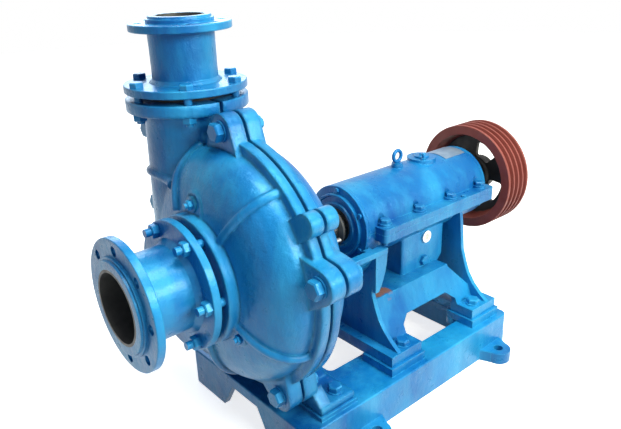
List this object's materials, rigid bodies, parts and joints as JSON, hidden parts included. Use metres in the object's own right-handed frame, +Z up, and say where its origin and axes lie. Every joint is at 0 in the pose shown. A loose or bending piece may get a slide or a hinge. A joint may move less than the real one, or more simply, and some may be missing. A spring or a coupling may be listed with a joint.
{
  "type": "rubber lined slurry pump",
  "caption": "Horizontal rubber lined slurry pump on a cast base: split bolted casing, flanged suction and upright discharge spools, bearing pedestal and grooved belt sheave.",
  "frame": {"origin": "centre of the four foundation holes on the underside of the base", "axes": "+X along the shaft from the suction to the sheave, +Z up along the discharge; the discharge stands on the +Y side of the shaft"},
  "size_m": [1.231, 0.6746, 0.964],
  "materials": {
    "paint_blue": "gloss enamel",
    "rubber_black": "satin",
    "steel": "machined",
    "packing_fibre": "braided",
    "bronze": "machined",
    "blank_plate": "satin",
    "glass": "clear",
    "primer_red": "matt oxide primer"
  },
  "bodies": {
    "frame": {"casing_front": "paint_blue", "casing_rear": "paint_blue", "suction_spool": "paint_blue", "discharge_spool": "paint_blue", "suction_studs": "paint_blue", "discharge_bolts": "paint_blue", "casing_bolts": "paint_blue", "liner_studs": "paint_blue", "stuffing_box": "paint_blue", "bearing_cap": "paint_blue", "inspection_cover": "paint_blue", "eye_bolt": "paint_blue", "breather": "paint_blue", "cap_bolts": "paint_blue", "front_cover": "paint_blue", "rear_cover": "paint_blue", "cover_screws": "paint_blue", "pedestal": "paint_blue", "yoke_screws": "paint_blue", "drain_plug": "paint_blue", "base": "paint_blue", "casing_foot_bolts": "paint_blue", "pedestal_foot_bolts": "paint_blue", "front_liner": "rubber_black", "rear_liner": "rubber_black", "suction_lining": "rubber_black", "discharge_lining": "rubber_black", "front_seal": "rubber_black", "rear_seal": "rubber_black", "box_screws": "steel", "gland_studs": "steel", "front_outer_ring": "steel", "rear_outer_ring": "steel", "sight_glass": "steel", "packing": "packing_fibre", "lantern_ring": "bronze", "nameplate": "blank_plate", "sight_lens": "glass"},
    "rotor": {"impeller": "rubber_black", "shaft": "steel", "shaft_sleeve": "steel", "flinger": "rubber_black", "front_inner_ring": "steel", "rear_inner_ring": "steel", "sheave": "primer_red", "sheave_key": "steel", "sheave_nut": "steel"},
    "front_cage": {"front_rollers": "steel"},
    "rear_cage": {"rear_rollers": "steel"},
    "gland": {"gland": "paint_blue", "gland_nuts": "steel"}
  },
  "joints": [
    {"name": "rotor_spin", "type": "hinge", "parent": "frame", "child": "rotor", "pos_m": [-0.106, 0, 0.437], "axis": [1, 0, 0], "continuous": true},
    {"name": "front_cage_spin", "type": "hinge", "parent": "frame", "child": "front_cage", "pos_m": [-0.0625, 0, 0.437], "axis": [1, 0, 0], "continuous": true},
    {"name": "rear_cage_spin", "type": "hinge", "parent": "frame", "child": "rear_cage", "pos_m": [0.3205, 0, 0.437], "axis": [1, 0, 0], "continuous": true},
    {"name": "gland_slide", "type": "slide", "parent": "frame", "child": "gland", "axis": [1, 0, 0], "range_m": [0, 0.014]}
  ],
  "couplings": [
    {"joint": "front_cage_spin", "follows": "rotor_spin", "ratio": 0.4391},
    {"joint": "rear_cage_spin", "follows": "rotor_spin", "ratio": 0.4391}
  ]
}
